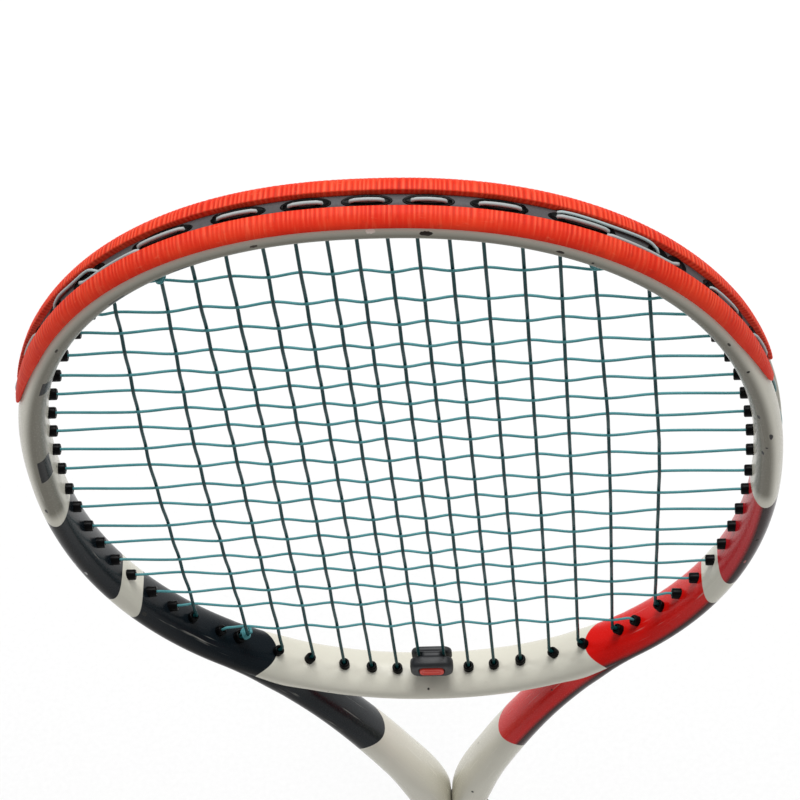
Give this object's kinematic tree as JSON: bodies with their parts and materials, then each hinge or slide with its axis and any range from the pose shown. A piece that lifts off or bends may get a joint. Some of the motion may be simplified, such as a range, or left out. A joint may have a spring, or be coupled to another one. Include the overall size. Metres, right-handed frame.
{
  "type": "tennis racket",
  "caption": "Strung tennis racket with ribbed bumper guard, grommet strips, woven strings, open throat, wrapped grip and a sliding vibration dampener.",
  "frame": {"origin": "centre of the butt cap's end face", "axes": "+Z from the butt to the tip of the head, +X across the head, -Y is the front face"},
  "size_m": [0.2668, 0.0356, 0.6846],
  "materials": {
    "frame_paint": "off-white lacquer with dark, crimson and red panels",
    "bumper": "ribbed, satin",
    "channel": "satin",
    "grommet": "satin",
    "string": "glossy monofilament",
    "pallet": "foamed, matt",
    "grip": "perforated synthetic leather",
    "tape": "smooth tape",
    "collar": "matt",
    "cap": "satin",
    "badge": "gloss",
    "dampener": "matt silicone",
    "insert": "matt silicone"
  },
  "bodies": {
    "racket": {"frame_hairpin": "frame_paint", "throat_bridge": "frame_paint", "bumper_guard": "bumper", "head_grommet_strip": "channel", "side_grommet_strip_right": "grommet", "side_grommet_strip_left": "grommet", "throat_grommet_strip": "grommet", "main_string": "string", "cross_string": "string", "main_knot_left": "string", "main_knot_right": "string", "cross_knot_head": "string", "cross_knot_throat": "string", "pallet_front": "pallet", "pallet_back": "pallet", "grip_wrap": "grip", "grip_tape": "tape", "grip_collar": "collar", "butt_cap": "cap", "butt_badge": "badge"},
    "dampener": {"dampener_body": "dampener", "dampener_insert": "insert"}
  },
  "joints": [
    {"name": "dampener_slide", "type": "slide", "parent": "racket", "child": "dampener", "axis": [0, 0, 1], "range_m": [-0.001, 0.012]}
  ]
}
